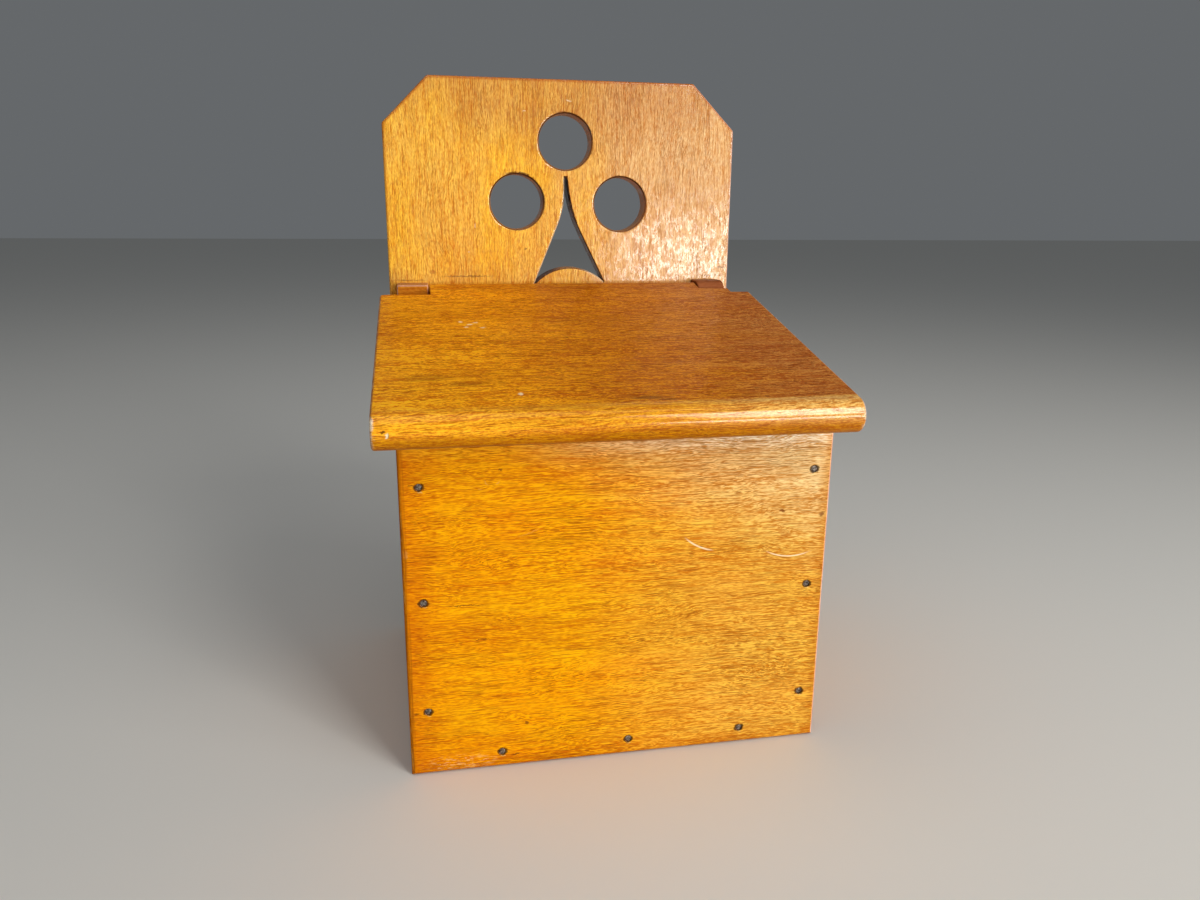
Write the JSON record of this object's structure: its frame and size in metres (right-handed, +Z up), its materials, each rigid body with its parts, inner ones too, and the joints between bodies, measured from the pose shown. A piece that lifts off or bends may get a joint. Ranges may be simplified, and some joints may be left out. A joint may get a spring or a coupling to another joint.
{
  "type": "salt box",
  "caption": "Wooden wall salt box with a sloping lid hinged on wooden blocks, round-nosed lid edge and a tall backboard pierced with a club shape.",
  "frame": {"origin": "on the underside, on the backboard's centre line, halfway from the front face to the wall face", "axes": "+Z up along the backboard, +Y towards the wall, +X to the right when facing the front panel"},
  "size_m": [0.1672, 0.155, 0.262],
  "materials": {
    "backboard_wood": "clear varnish",
    "panel_wood": "clear varnish",
    "lid_wood": "clear varnish",
    "block_wood": "clear varnish",
    "pin_steel": "bright wire",
    "nail_steel": "tarnished"
  },
  "bodies": {
    "case": {"backboard": "backboard_wood", "front_panel": "panel_wood", "left_side": "panel_wood", "right_side": "panel_wood", "bottom_board": "panel_wood", "left_hinge_block": "block_wood", "right_hinge_block": "block_wood", "left_hinge_pin": "pin_steel", "right_hinge_pin": "pin_steel", "front_left_nails": "nail_steel", "front_right_nails": "nail_steel", "front_bottom_nails": "nail_steel", "back_left_nails": "nail_steel", "back_right_nails": "nail_steel", "back_bottom_nails": "nail_steel", "left_bottom_nails": "nail_steel", "right_bottom_nails": "nail_steel", "left_block_nails": "nail_steel", "right_block_nails": "nail_steel"},
    "lid": {"lid": "lid_wood"}
  },
  "joints": [
    {"name": "lid_hinge", "type": "hinge", "parent": "case", "child": "lid", "pos_m": [0, 0.0489, 0.16672], "axis": [-1, 0, 0], "range_deg": [0, 102]}
  ]
}
